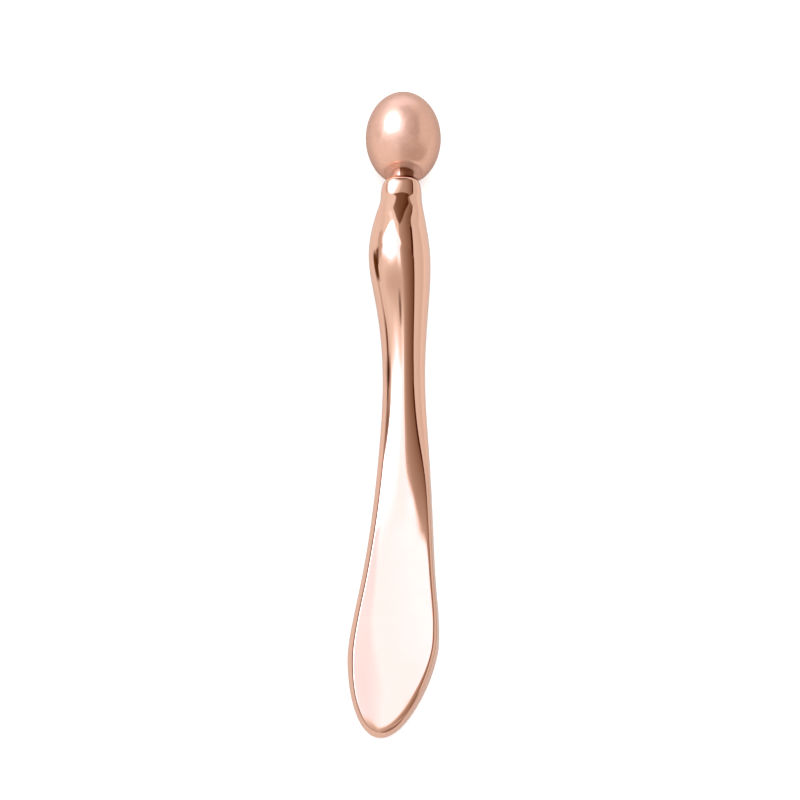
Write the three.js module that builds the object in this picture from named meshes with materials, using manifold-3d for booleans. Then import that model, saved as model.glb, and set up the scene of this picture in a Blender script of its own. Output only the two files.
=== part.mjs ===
// Eye cream massage stick: a polished cast handle with a flat blade at one end, and an
// egg-shaped roller at the other that spins on a steel pin pressed into the handle's collar.
// Millimetres. The stick lies on its back along Y: roller toward +Y, blade face up.
// Stations along the handle are measured from its collar face toward the blade's tip.
import * as THREE from "three";
import { mergeVertices } from "three/addons/utils/BufferGeometryUtils.js";
import Module from "manifold-3d";

// Whole object
const overallLength = 100;
const clearance = 0.05;
const overrun = 1;

// Roller: an egg cut flat at its mouth, with a blind bore
const rollerDiameter = 11;
const rollerCrownLength = 7.3;
const mouthWall = 0.5;
const mouthChamfer = 0.2;
const crownWall = 2.7;
const borePointLength = 1.1;

// Pin, from its root in the handle to its free end in the roller
const rootDiameter = 2.6;
const rootLength = 6;
const pinFlangeWidth = 0.2;
const pinFlangeThickness = 0.4;
const neckReveal = 1.65;
const neckDiameter = 3;
const neckInset = 0.35;
const journalDiameter = 2;
const grooveDepth = 0.3;
const pinEndLength = 0.4;
const pinEndGap = 0.3;
const pinChamfer = 0.2;

// Bushes, washers and retaining ring on the journal, and the cap that closes the roller's mouth
const runningClearance = 0.06;
const bushWall = 1.09;
const bushSpacing = 0.8;
const bushFlangeWidth = 0.5;
const bushFlangeThickness = 0.4;
const washerThickness = 0.3;
const washerMargin = 0.4;
const ringThickness = 0.35;
const ringMargin = 0.1;
const ringOpening = 1;
const capNeckGap = 0.1;
const capSkirtWall = 0.4;
const capChamfer = 0.05;

// Handle seen from the front: full width and sideways shift of each section
const collarLength = 3.54;
const collarFaceDiameter = 3.5;
const collarRoundLength = 2.8;
const collarWidth = 6.17;
const collarShift = -0.36;
const throatWidth = 6.05;
const throatShift = -0.32;
const shoulderWidth = 6.95;
const shoulderShift = -0.45;
const swellWidth = 8.85;
const swellShift = -0.56;
const taperWidth = 7.65;
const taperShift = -0.17;
const waistWidth = 6.05;
const waistShift = 0.06;
const bladeRootWidth = 6.96;
const bladeRootShift = 0.08;
const bladeNeckWidth = 8.54;
const bladeNeckShift = -0.19;
const bladeMiddleWidth = 10.59;
const bladeMiddleShift = -0.76;
const bladeWidth = 12.33;
const bladeShift = -1.41;
const tipShift = -3.09;
const tipCurveShare = 1.52;

// Handle seen from the side: front and back depths about its middle line
const collarDepth = 6.1;
const swellDepth = 8.3;
const taperFrontDepth = 3.55;
const taperBackDepth = 3.6;
const waistFrontDepth = 2.75;
const waistBackDepth = 2.27;
const waistGroundGap = 1.2;
const bladeRootFrontDepth = 2.25;
const bladeRootBackDepth = 1.77;
const bladeFrontDepth = 1.9;
const bladeBackDepth = 1.5;
const bladeGroundGap = 0.1;
const tipThinShare = 0.28;

// Blade: its face, which rolls off on the right, its bevelled rim and its rounded back edge
const faceCrown = 0.1;
const rimWidthLeft = 1;
const rimWidthRight = 0.5;
const rimStraightShare = 0.66;
const faceRollWidth = 1.3;
const faceRollShare = 0.16;
const tipRollShare = 0.45;
const backRimWidth = 2;

// Places of the sections, as shares of the handle's length beyond its collar
const shoulderShare = 0.027;
const swellShare = 0.11;
const taperShare = 0.194;
const waistShare = 0.316;
const faceStartShare = 0.363;
const bladeRootShare = 0.468;
const bladeNeckShare = 0.602;
const bendEndShare = 0.633;
const faceFullShare = 0.706;
const bladeMiddleShare = 0.731;
const bladeWidestShare = 0.843;

// Facets
const rollerSides = 42;
const mouthRows = 6;
const crownRows = 13;
const pinSides = 32;
const ringSteps = 28;
const rimSteps = 5;
const faceSteps = 14;
const backRimSteps = 6;
const backSteps = 7;
const collarSteps = 8;
const gripSteps = 24;
const bladeSteps = 16;
const tipSteps = 12;
const creaseLimitShare = 0.42;

const wasm = await Module();
wasm.setup();

const half = (size) => size / 2;
const rollerRadius = half(rollerDiameter);
const journalRadius = half(journalDiameter);
const bushInnerRadius = journalRadius + runningClearance;
const bushOuterRadius = bushInnerRadius + bushWall;
const boreRadius = bushOuterRadius + clearance;
const bushFlangeRadius = bushOuterRadius + bushFlangeWidth;
const counterboreRadius = bushFlangeRadius + clearance;
const mouthRadius = counterboreRadius + mouthWall;
const mouthDepth = rollerCrownLength * Math.sqrt(1 - (mouthRadius / rollerRadius) ** 2);
const rollerHeight = rollerCrownLength + mouthDepth;
const handleLength = overallLength - rollerHeight - neckReveal;

// Places along the handle, from its collar face toward the tip.
const shankPlace = (share) => collarLength + (handleLength - collarLength) * share;
const shoulderAt = shankPlace(shoulderShare);
const swellAt = shankPlace(swellShare);
const taperAt = shankPlace(taperShare);
const waistAt = shankPlace(waistShare);
const faceStartAt = shankPlace(faceStartShare);
const bladeRootAt = shankPlace(bladeRootShare);
const bladeNeckAt = shankPlace(bladeNeckShare);
const bendEndAt = shankPlace(bendEndShare);
const faceFullAt = shankPlace(faceFullShare);
const bladeMiddleAt = shankPlace(bladeMiddleShare);
const bladeWidestAt = shankPlace(bladeWidestShare);

// A closed mesh as a solid that can be cut, and back again.
function solidFrom(geometry) {
  const bare = geometry.clone();
  bare.deleteAttribute("normal");
  bare.deleteAttribute("uv");
  const merged = mergeVertices(bare);
  return new wasm.Manifold(
    new wasm.Mesh({
      numProp: 3,
      vertProperties: merged.attributes.position.array,
      triVerts: new Uint32Array(merged.index.array),
    }),
  );
}

function geometryFrom(solid) {
  const mesh = solid.getMesh();
  const geometry = new THREE.BufferGeometry();
  geometry.setAttribute(
    "position",
    new THREE.BufferAttribute(mesh.vertProperties, mesh.numProp),
  );
  geometry.setIndex(new THREE.BufferAttribute(mesh.triVerts, 1));
  geometry.computeVertexNormals();
  return geometry;
}

// A body turned about the Y axis from pairs of radius and height.
function turned(profile, sides) {
  const points = profile.map(([radius, height]) => {
    return new THREE.Vector2(radius, height);
  });
  return new THREE.LatheGeometry(points, sides);
}

// The curve of least bend through the given values: level at its start, and at its end unless
// a slope is given there.
function smoothCurve(places, values, endSlope = 0) {
  const count = places.length;
  const slopes = new Array(count).fill(endSlope);
  slopes[0] = 0;
  const pull = new Array(count).fill(0);
  const carry = new Array(count).fill(0);
  for (let i = 1; i < count - 1; i += 1) {
    const before = places[i] - places[i - 1];
    const after = places[i + 1] - places[i];
    const rise = 3 * (values[i] - values[i - 1]) / before ** 2;
    const run = 3 * (values[i + 1] - values[i]) / after ** 2;
    const weight = 2 / before + 2 / after - pull[i - 1] / before;
    pull[i] = 1 / after / weight;
    carry[i] = (rise + run - carry[i - 1] / before) / weight;
  }
  for (let i = count - 2; i > 0; i -= 1) {
    slopes[i] = carry[i] - pull[i] * slopes[i + 1];
  }
  return (place) => {
    if (place <= places[0]) return values[0];
    if (place >= places[count - 1]) return values[count - 1];
    const i = places.findIndex((end) => end > place) - 1;
    const span = places[i + 1] - places[i];
    const t = (place - places[i]) / span;
    const fromStart = (1 + 2 * t) * (1 - t) ** 2 * values[i];
    const toEnd = t * t * (3 - 2 * t) * values[i + 1];
    const startLean = t * (1 - t) ** 2 * slopes[i];
    const endLean = t * t * (t - 1) * slopes[i + 1];
    return fromStart + toEnd + span * (startLean + endLean);
  };
}

// Rises from 0 to 1 between two places, with no kink at either end.
function ramp(place, start, end) {
  const t = THREE.MathUtils.clamp((place - start) / (end - start), 0, 1);
  return t ** 3 * (t * (6 * t - 15) + 10);
}

const sectionPlaces = [
  0,
  collarLength,
  shoulderAt,
  swellAt,
  taperAt,
  waistAt,
  bladeRootAt,
  bladeNeckAt,
  bladeMiddleAt,
  bladeWidestAt,
];
const fullWidthAt = smoothCurve(sectionPlaces, [
  collarWidth,
  throatWidth,
  shoulderWidth,
  swellWidth,
  taperWidth,
  waistWidth,
  bladeRootWidth,
  bladeNeckWidth,
  bladeMiddleWidth,
  bladeWidth,
]);
const sideShiftAt = smoothCurve(
  [...sectionPlaces, handleLength],
  [
    collarShift,
    throatShift,
    shoulderShift,
    swellShift,
    taperShift,
    waistShift,
    bladeRootShift,
    bladeNeckShift,
    bladeMiddleShift,
    bladeShift,
    tipShift,
  ],
  (tipShift - bladeShift) / (handleLength - bladeWidestAt),
);
const depthPlaces = [
  0,
  collarLength,
  swellAt,
  taperAt,
  waistAt,
  bladeRootAt,
  bendEndAt,
];
const frontDepthAt = smoothCurve(depthPlaces, [
  half(collarDepth),
  half(collarDepth),
  half(swellDepth),
  taperFrontDepth,
  waistFrontDepth,
  bladeRootFrontDepth,
  bladeFrontDepth,
]);
const backDepthAt = smoothCurve(depthPlaces, [
  half(collarDepth),
  half(collarDepth),
  half(swellDepth),
  taperBackDepth,
  waistBackDepth,
  bladeRootBackDepth,
  bladeBackDepth,
]);

// The collar's bead is drawn in round the pin near its end face: the share, and how far.
function beadShare(along) {
  const t = Math.min(along / collarRoundLength, 1);
  return 1 - Math.sqrt(t * (2 - t));
}

function beadInset(along) {
  return half(collarWidth - collarFaceDiameter) * beadShare(along);
}

// Half the width squared: it falls to zero at the tip with a steady slope, so the nose is round.
function widthSquaredAt(along) {
  const full = half(fullWidthAt(along)) - beadInset(along);
  const t = (along - bladeWidestAt) / (handleLength - bladeWidestAt);
  return full ** 2 * (t > 0 ? 1 - t ** tipCurveShare : 1);
}

// The back sinks from the collar to the blade, whose back clears the ground a little, so that
// the stick stands on its roller and on the end of the blade.
const unbentGapAt = smoothCurve([0, collarLength, swellAt, waistAt], [
  rollerRadius - half(collarDepth),
  rollerRadius - half(collarDepth),
  rollerRadius - half(swellDepth),
  waistGroundGap,
]);
function middleHeightAt(along) {
  const bend = ramp(along, swellAt, bendEndAt);
  const gap = THREE.MathUtils.lerp(unbentGapAt(along), bladeGroundGap, bend);
  return gap + backDepthAt(along);
}

// One section of the handle: everything that its ring of points needs.
function sectionAt(along) {
  const ahead = Math.min(along + clearance, handleLength);
  const behind = Math.max(along - clearance, 0);
  const rise = widthSquaredAt(ahead) - widthSquaredAt(behind);
  const nose = (along - bladeWidestAt) / (handleLength - bladeWidestAt);
  const thinning = 1 - tipThinShare * Math.max(nose, 0) ** 3;
  return {
    along,
    middle: middleHeightAt(along),
    shift: sideShiftAt(along) * (1 - beadShare(along)),
    squared: widthSquaredAt(along),
    closing: rise / (ahead - behind),
    front: (frontDepthAt(along) - beadInset(along)) * thinning,
    back: backDepthAt(along) - beadInset(along),
    flat: ramp(along, faceStartAt, faceFullAt),
    rollWidth: faceRollWidth * (1 - tipRollShare * Math.max(nose, 0)),
  };
}

// Distance from a point of the section to the edge of the handle's outline.
function edgeDistance(section, across) {
  const inside = Math.max(section.squared - across ** 2, 0);
  return inside / Math.hypot(2 * across, section.closing);
}

// Angle round the section at which the outline's edge is a given distance away.
function angleAtDistance(section, distance) {
  const { squared, closing } = section;
  const reach = 4 * squared + 4 * distance ** 2 + closing ** 2;
  const left = squared + 2 * distance ** 2 - distance * Math.sqrt(reach);
  const angle = Math.acos(Math.sqrt(Math.max(left, 0) / squared));
  return Math.min(angle, Math.PI * creaseLimitShare);
}

// Height share of the bevelled rim: upright at the outline, leaning where it meets the face.
function bevelShare(distance, width) {
  const t = Math.min(distance / width, 1);
  const round = Math.sqrt(t * (2 - t));
  return rimStraightShare * t + (1 - rimStraightShare) * round;
}

function frontHeight(section, share) {
  const across = share * Math.sqrt(section.squared);
  const distance = edgeDistance(section, across);
  const leftShare = THREE.MathUtils.smoothstep(-share, -1, 1);
  const rimWidth = THREE.MathUtils.lerp(rimWidthRight, rimWidthLeft, leftShare);
  const round = Math.sqrt(1 - share ** 2);
  const crown = faceCrown * section.flat * (1 - share ** 2);
  const outward = 1 - Math.min(distance / section.rollWidth, 1);
  const roll = faceRollShare * (1 - leftShare) * outward ** 2;
  const blade = bevelShare(distance, rimWidth) * (1 - roll);
  const mixed = THREE.MathUtils.lerp(round, blade, section.flat);
  return section.middle + section.front * mixed + crown;
}

function backHeight(section, share) {
  const across = share * Math.sqrt(section.squared);
  const t = Math.min(edgeDistance(section, across) / backRimWidth, 1);
  const round = Math.sqrt(1 - share ** 2);
  const blade = Math.sqrt(t * (2 - t));
  const mixed = THREE.MathUtils.lerp(round, blade, section.flat);
  return section.middle - section.back * mixed;
}

// Angles from one side of the section to the other, with a point on each crease.
function splitAngles(right, left, edgeSteps, middleSteps) {
  const angles = [];
  for (let i = 0; i < edgeSteps; i += 1) {
    angles.push((right * i) / edgeSteps);
  }
  const span = Math.PI - right - left;
  for (let i = 0; i < middleSteps; i += 1) {
    angles.push(right + (span * i) / middleSteps);
  }
  for (let i = 0; i < edgeSteps; i += 1) {
    angles.push(Math.PI - left + (left * i) / edgeSteps);
  }
  return angles;
}

// The section's points, anticlockwise seen from the blade's tip.
function sectionRing(section) {
  const halfWidth = Math.sqrt(section.squared);
  const y = -section.along;
  const right = angleAtDistance(section, rimWidthRight);
  const left = angleAtDistance(section, rimWidthLeft);
  const back = angleAtDistance(section, backRimWidth);
  const front = splitAngles(right, left, rimSteps, faceSteps).map((angle) => {
    const share = Math.cos(angle);
    const x = section.shift + halfWidth * share;
    return [x, y, frontHeight(section, share)];
  });
  const rear = splitAngles(back, back, backRimSteps, backSteps).map((angle) => {
    const share = -Math.cos(angle);
    const x = section.shift + halfWidth * share;
    return [x, y, backHeight(section, share)];
  });
  return [...front, ...rear];
}

// Places of the sections: closer together on the collar and toward the tip.
function sectionStations() {
  const stations = [];
  for (let i = 0; i < collarSteps; i += 1) {
    stations.push(collarLength * (i / collarSteps) ** 2);
  }
  for (let i = 0; i < gripSteps; i += 1) {
    stations.push(collarLength + ((waistAt - collarLength) * i) / gripSteps);
  }
  for (let i = 0; i < bladeSteps; i += 1) {
    stations.push(waistAt + ((bladeWidestAt - waistAt) * i) / bladeSteps);
  }
  for (let i = 0; i < tipSteps; i += 1) {
    const t = 1 - (1 - i / tipSteps) ** 2;
    stations.push(bladeWidestAt + (handleLength - bladeWidestAt) * t);
  }
  return stations;
}

// Skin through the rings, closed by a flat end face and by one point at the tip.
function handleSkin() {
  const sections = sectionStations().map(sectionAt);
  const rings = sections.map(sectionRing);
  const size = rings[0].length;
  const positions = rings.flat(2);
  const faces = [];
  for (let i = 0; i < rings.length - 1; i += 1) {
    for (let j = 0; j < size; j += 1) {
      const a = i * size + j;
      const b = i * size + ((j + 1) % size);
      faces.push(a, b, b + size, a, b + size, a + size);
    }
  }
  const faceCentre = positions.length / 3;
  positions.push(0, 0, rollerRadius);
  const tip = faceCentre + 1;
  positions.push(tipShift, -handleLength, middleHeightAt(handleLength));
  const last = (rings.length - 1) * size;
  for (let j = 0; j < size; j += 1) {
    const next = (j + 1) % size;
    faces.push(faceCentre, next, j);
    faces.push(last + j, last + next, tip);
  }
  const geometry = new THREE.BufferGeometry();
  geometry.setAttribute(
    "position",
    new THREE.Float32BufferAttribute(positions, 3),
  );
  geometry.setIndex(faces);
  return geometry;
}

// The socket for the pin's root, sunk into the collar's face along the roller's axis.
function handleGeometry() {
  const radius = half(rootDiameter) + clearance;
  const depth = rootLength + clearance;
  const socket = turned(
    [
      [0, -depth],
      [radius, -depth],
      [radius, overrun],
      [0, overrun],
    ],
    pinSides,
  );
  socket.translate(0, 0, rollerRadius);
  return geometryFrom(solidFrom(handleSkin()).subtract(solidFrom(socket)));
}

// Places along the pin, measured from the handle's collar face toward the roller.
const mouthAt = neckReveal;
const neckEndAt = mouthAt + neckInset;
const thrustAt = neckEndAt + clearance;
const lowerBushAt = thrustAt + washerThickness + clearance;
const flangeSeatAt = lowerBushAt + bushFlangeThickness + clearance;
const boreEndAt = mouthAt + rollerHeight - crownWall - borePointLength;
const pinEndAt = boreEndAt - pinEndGap;
const grooveLength = ringThickness + 2 * clearance;
const grooveAt = pinEndAt - pinEndLength - grooveLength;
const endWasherAt = grooveAt - washerThickness;
const bushEndAt = endWasherAt - clearance;
const bushLength = half(bushEndAt - lowerBushAt - bushSpacing);
const upperBushAt = bushEndAt - bushLength;

function pinGeometry() {
  const root = half(rootDiameter);
  const neck = half(neckDiameter);
  const flange = neck + pinFlangeWidth;
  const journal = journalRadius;
  const groove = journalRadius - grooveDepth;
  return turned(
    [
      [0, -rootLength],
      [root - pinChamfer, -rootLength],
      [root, -rootLength + pinChamfer],
      [root, 0],
      [flange, 0],
      [flange, pinFlangeThickness],
      [neck, pinFlangeThickness],
      [neck, neckEndAt],
      [journal, neckEndAt],
      [journal, grooveAt],
      [groove, grooveAt],
      [groove, grooveAt + grooveLength],
      [journal, grooveAt + grooveLength],
      [journal, pinEndAt - pinChamfer],
      [journal - pinChamfer, pinEndAt],
      [0, pinEndAt],
    ],
    pinSides,
  );
}

// A point of the egg's outline, by its angle above the widest ring.
function eggPoint(centre, angle) {
  const height = centre + rollerCrownLength * Math.sin(angle);
  return [rollerRadius * Math.cos(angle), height];
}

// The bore from its point out to the mouth, then the egg's outline from the mouth to the crown.
// It is turned by half a side, so that a flat and not an edge is at its bottom.
function rollerGeometry() {
  const centre = mouthAt + mouthDepth;
  const profile = [
    [0, boreEndAt + borePointLength],
    [boreRadius, boreEndAt],
    [boreRadius, flangeSeatAt],
    [counterboreRadius, flangeSeatAt],
    [counterboreRadius, mouthAt],
    [mouthRadius - mouthChamfer, mouthAt],
  ];
  const start = -Math.asin((mouthDepth - half(mouthChamfer)) / rollerCrownLength);
  for (let i = 0; i < mouthRows; i += 1) {
    profile.push(eggPoint(centre, start * (1 - i / mouthRows)));
  }
  for (let i = 0; i < crownRows; i += 1) {
    profile.push(eggPoint(centre, (Math.PI / 2) * (i / crownRows)));
  }
  profile.push([0, centre + rollerCrownLength]);
  return turned(profile, rollerSides).rotateY(Math.PI / rollerSides);
}

function lowerBushGeometry() {
  const flangeEnd = lowerBushAt + bushFlangeThickness;
  const sleeveEnd = lowerBushAt + bushLength;
  return turned(
    [
      [bushInnerRadius, lowerBushAt],
      [bushFlangeRadius, lowerBushAt],
      [bushFlangeRadius, flangeEnd],
      [bushOuterRadius, flangeEnd],
      [bushOuterRadius, sleeveEnd],
      [bushInnerRadius, sleeveEnd],
      [bushInnerRadius, lowerBushAt],
    ],
    pinSides,
  );
}

// A plain ring about the pin's axis.
function sleeve(inner, outer, start, length) {
  return turned(
    [
      [inner, start],
      [outer, start],
      [outer, start + length],
      [inner, start + length],
      [inner, start],
    ],
    pinSides,
  );
}

function upperBushGeometry() {
  return sleeve(bushInnerRadius, bushOuterRadius, upperBushAt, bushLength);
}

// The cap's skirt holds the lower bush by its flange, and its face ends level with the mouth.
function mouthCapGeometry() {
  const inner = half(neckDiameter) + capNeckGap;
  const skirt = bushFlangeRadius - capSkirtWall;
  const skirtEnd = lowerBushAt - clearance;
  return turned(
    [
      [inner, mouthAt],
      [bushFlangeRadius - capChamfer, mouthAt],
      [bushFlangeRadius, mouthAt + capChamfer],
      [bushFlangeRadius, skirtEnd],
      [skirt, skirtEnd],
      [skirt, neckEndAt],
      [inner, neckEndAt],
      [inner, mouthAt],
    ],
    pinSides,
  );
}

const washerRadius = boreRadius - washerMargin;
function washerGeometry(start) {
  const inner = journalRadius + clearance;
  return sleeve(inner, washerRadius, start, washerThickness);
}

// An open ring that snaps into the pin's groove.
function retainingRingGeometry() {
  const inner = journalRadius - grooveDepth + clearance;
  const outer = washerRadius - ringMargin;
  const outline = new THREE.Shape();
  const innerGap = Math.asin(half(ringOpening) / inner);
  const outerGap = Math.asin(half(ringOpening) / outer);
  const full = 2 * Math.PI;
  outline.absarc(0, 0, outer, outerGap, full - outerGap, false);
  outline.absarc(0, 0, inner, full - innerGap, innerGap, true);
  outline.closePath();
  const ring = new THREE.ExtrudeGeometry(outline, {
    depth: ringThickness,
    bevelEnabled: false,
    curveSegments: ringSteps,
  });
  ring.rotateX(-Math.PI / 2);
  ring.translate(0, grooveAt + clearance, 0);
  return ring;
}

const polishedRoseGold = { color: 0xe1b19a, roughness: 0.08, metalness: 1 };
const satinRoseGold = { color: 0xedbda6, roughness: 0.3, metalness: 1 };
const steel = { color: 0xc4c4c8, roughness: 0.25, metalness: 1 };
const bearingPlastic = { color: 0xf0eee8, roughness: 0.5, metalness: 0 };

const group = new THREE.Group();
const onPinAxis = new THREE.Group();
onPinAxis.position.z = rollerRadius;
group.add(onPinAxis);

function addPiece(parent, name, geometry, finish) {
  const mesh = new THREE.Mesh(
    geometry,
    new THREE.MeshStandardMaterial(finish),
  );
  mesh.name = name;
  parent.add(mesh);
}

const endWasher = washerGeometry(endWasherAt);
const retainingRing = retainingRingGeometry();
addPiece(group, "handle", handleGeometry(), polishedRoseGold);
addPiece(onPinAxis, "axle_pin", pinGeometry(), polishedRoseGold);
addPiece(onPinAxis, "roller_ball", rollerGeometry(), satinRoseGold);
addPiece(onPinAxis, "mouth_cap", mouthCapGeometry(), satinRoseGold);
addPiece(onPinAxis, "lower_bush", lowerBushGeometry(), bearingPlastic);
addPiece(onPinAxis, "upper_bush", upperBushGeometry(), bearingPlastic);
addPiece(onPinAxis, "thrust_washer", washerGeometry(thrustAt), steel);
addPiece(onPinAxis, "end_washer", endWasher, steel);
addPiece(onPinAxis, "retaining_ring", retainingRing, steel);

// The origin is under the middle of the object, on the surface that it lies on.
const bounds = new THREE.Box3().setFromObject(group, true);
const middle = bounds.getCenter(new THREE.Vector3());
group.position.set(-middle.x, -middle.y, -bounds.min.z);

export default group;
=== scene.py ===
import math

import bpy
import numpy as np
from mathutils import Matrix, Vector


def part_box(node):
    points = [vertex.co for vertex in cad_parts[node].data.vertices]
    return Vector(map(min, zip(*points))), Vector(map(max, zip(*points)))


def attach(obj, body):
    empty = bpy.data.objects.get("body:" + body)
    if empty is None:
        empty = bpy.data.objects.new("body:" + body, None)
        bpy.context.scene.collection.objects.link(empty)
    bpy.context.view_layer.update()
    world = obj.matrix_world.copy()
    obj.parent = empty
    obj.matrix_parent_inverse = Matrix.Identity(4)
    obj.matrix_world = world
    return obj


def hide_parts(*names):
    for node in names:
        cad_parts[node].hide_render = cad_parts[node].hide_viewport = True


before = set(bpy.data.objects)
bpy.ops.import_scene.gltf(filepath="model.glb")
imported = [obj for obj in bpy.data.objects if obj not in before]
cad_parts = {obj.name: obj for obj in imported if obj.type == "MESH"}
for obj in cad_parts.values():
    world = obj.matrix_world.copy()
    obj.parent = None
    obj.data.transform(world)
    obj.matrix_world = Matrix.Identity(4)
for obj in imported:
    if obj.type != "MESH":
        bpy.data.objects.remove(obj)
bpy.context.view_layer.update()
mm = 0.001

# Pin and roller: sizes in millimetres. Heights are measured from the collar's face, toward the
# roller's crown.
pinForm = {
    "rootRadius": 1.3,
    "rootLength": 6.0,
    "flangeRadius": 1.7,
    "flangeThickness": 0.4,
    "neckRadius": 1.5,
    "neckEnd": 2.0,
    "journalRadius": 1.0,
    "grooveRadius": 0.7,
    "grooveWidth": 0.45,
    "endLength": 0.4,
    "endEase": 0.15,
    "flangeEase": 0.06,
    "shoulderEase": 0.05,
    "neckEase": 0.04,
    "ease": 0.03,
    "sides": 96,
}
rollerForm = {
    "radius": 5.5,
    "crown": 7.3,
    "mouth": 1.65,
    "mouthRadius": 3.2,
    "mouthEase": 0.4,
    "mouthInset": 0.48,
    "counterbore": 2.665,
    "lip": 0.03,
    "flangeSeat": 2.85,
    "seatEase": 0.03,
    "bore": 2.2,
    "boreEase": 0.05,
    "boreEnd": 11.087,
    "boreEndEase": 0.1,
    "borePoint": 12.187,
    "outlinePoints": 90,
    "mouthSteps": 8,
    "sides": 168,
}

# The pin's box gives the place of everything: its axis, and the collar face that it is pressed into.
pinLow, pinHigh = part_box("axle_pin")
axisX = (pinLow.x + pinHigh.x) / 2 / mm
axisZ = (pinLow.z + pinHigh.z) / 2 / mm
collarY = pinLow.y / mm + pinForm["rootLength"]
pinForm["end"] = pinHigh.y / mm - collarY
pinForm["grooveEnd"] = pinForm["end"] - pinForm["endLength"]
pinForm["grooveStart"] = pinForm["grooveEnd"] - pinForm["grooveWidth"]


# Mesh from rows of points: each row is a ring about the piece, and rows follow one another
# from the roller's end toward the blade's tip. The ends close to one point each, or the last row
# joins the first. The painted shade marks, if any, become a value at each point for the shader.
def addSkin(name, rows, material, startPoint=None, endPoint=None, sharpAngle=40.0, paintedShade=None):
    count, size = rows.shape[:2]
    points = rows.reshape(-1, 3)
    ringIndex = np.arange(size)
    nextIndex = (ringIndex + 1) % size
    rowStart = np.arange(count if startPoint is None else count - 1)[:, None] * size
    nextStart = (rowStart + size) % (count * size)
    quads = np.stack(
        [rowStart + ringIndex, rowStart + nextIndex, nextStart + nextIndex, nextStart + ringIndex],
        axis=-1,
    ).reshape(-1, 4)
    faces = quads.tolist()
    if startPoint is not None:
        last = (count - 1) * size
        startPole = np.full(size, count * size)
        points = np.vstack([points, startPoint, endPoint])
        faces += np.stack([startPole, nextIndex, ringIndex], axis=-1).tolist()
        endFan = np.stack([last + ringIndex, last + nextIndex, startPole + 1], axis=-1)
        faces += endFan.tolist()
    mesh = bpy.data.meshes.new(name)
    mesh.from_pydata((points * mm).tolist(), [], faces)
    if paintedShade is not None:
        shadeMarks = np.zeros(len(points))
        shadeMarks[: count * size] = paintedShade.reshape(-1)
        mesh.attributes.new("paintedShade", "FLOAT", "POINT").data.foreach_set("value", shadeMarks)
    mesh.shade_smooth()
    mesh.set_sharp_from_angle(angle=math.radians(sharpAngle))
    mesh.validate()
    mesh.update()
    piece = bpy.data.objects.new(name, mesh)
    bpy.context.scene.collection.objects.link(piece)
    mesh.materials.append(material)
    return piece


# Profile with eased corners: each corner is (radius, height, ease), and is replaced by a short
# quadratic curve that starts and ends at the ease's distance from it. One more point on each side
# keeps the flats next to it flat.
def easedProfile(corners, steps=5, flatReach=1.5):
    spots = np.array([corner[:2] for corner in corners], float)
    out = []
    for i, here in enumerate(spots):
        ease = corners[i][2]
        if ease == 0:
            out.append(here[None])
            continue
        back = spots[i - 1] - here
        ahead = spots[(i + 1) % len(spots)] - here
        back = back / np.linalg.norm(back) * ease
        ahead = ahead / np.linalg.norm(ahead) * ease
        t = np.linspace(0, 1, steps + 1)[:, None]
        curve = here + back * (1 - t) ** 2 + ahead * t**2
        out += [(here + back * flatReach)[None], curve, (here + ahead * flatReach)[None]]
    return np.vstack(out)


# Turned piece about the pin's axis: the profile is carried round in even steps of angle.
def addTurned(name, profile, sides, material, closed=False):
    angle = np.linspace(0, 2 * math.pi, sides, endpoint=False)
    body = profile if closed else profile[1:-1]
    x = axisX + body[:, :1] * np.cos(angle)
    z = axisZ + body[:, :1] * np.sin(angle)
    y = np.repeat(collarY + body[:, 1:], sides, axis=1)
    rows = np.stack([x, y, z], axis=-1)
    if closed:
        return addSkin(name, rows, material)
    start = [[axisX, collarY + profile[0, 1], axisZ]]
    end = [[axisX, collarY + profile[-1, 1], axisZ]]
    return addSkin(name, rows, material, start, end)


# Shader node with its settings and its inputs.
def addNode(tree, kind, settings=None, **inputs):
    node = tree.nodes.new(kind)
    for key, value in (settings or {}).items():
        setattr(node, key, value)
    for key, value in inputs.items():
        feed(tree, node.inputs[key.replace("_", " ")], value)
    return node


# Links an input to another node's socket, or sets its plain value.
def feed(tree, socket, value):
    if isinstance(value, bpy.types.NodeSocket):
        tree.links.new(value, socket)
    else:
        socket.default_value = value


# One step of arithmetic on sockets or values.
def calc(tree, operation, *values):
    node = tree.nodes.new("ShaderNodeMath")
    node.operation = operation
    for socket, value in zip(node.inputs, values):
        feed(tree, socket, value)
    return node.outputs[0]


# Carries a value from one range to another and holds it at the ends: in a straight line, or softly
# by 3t^2 - 2t^3.
def mapRange(tree, value, low, high, outLow, outHigh, soft=False):
    node = tree.nodes.new("ShaderNodeMapRange")
    node.interpolation_type = "SMOOTHSTEP" if soft else "LINEAR"
    for socket, number in zip(node.inputs, (value, low, high, outLow, outHigh)):
        feed(tree, socket, number)
    return node.outputs[0]


# Mixed colour: the first where the share is 0, and the second where it is 1. Each is a socket or
# three values.
def mixColor(tree, share, first, second):
    node = addNode(tree, "ShaderNodeMix", {"data_type": "RGBA"})
    feed(tree, node.inputs[0], share)
    for socket, color in zip(node.inputs[6:8], (first, second)):
        feed(tree, socket, (*color, 1) if isinstance(color, tuple) else color)
    return node.outputs[2]


# Empty group of shader nodes, with its inputs at their usual values, and its two end nodes.
def newGroup(name, inputs, outputs):
    group = bpy.data.node_groups.new(name, "ShaderNodeTree")
    for label, value in inputs.items():
        socket = group.interface.new_socket(label, in_out="INPUT", socket_type="NodeSocketFloat")
        socket.default_value = value
    for label in outputs:
        group.interface.new_socket(label, in_out="OUTPUT", socket_type="NodeSocketFloat")
    start = group.nodes.new("NodeGroupInput")
    end = group.nodes.new("NodeGroupOutput")
    return group, start, end


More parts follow.
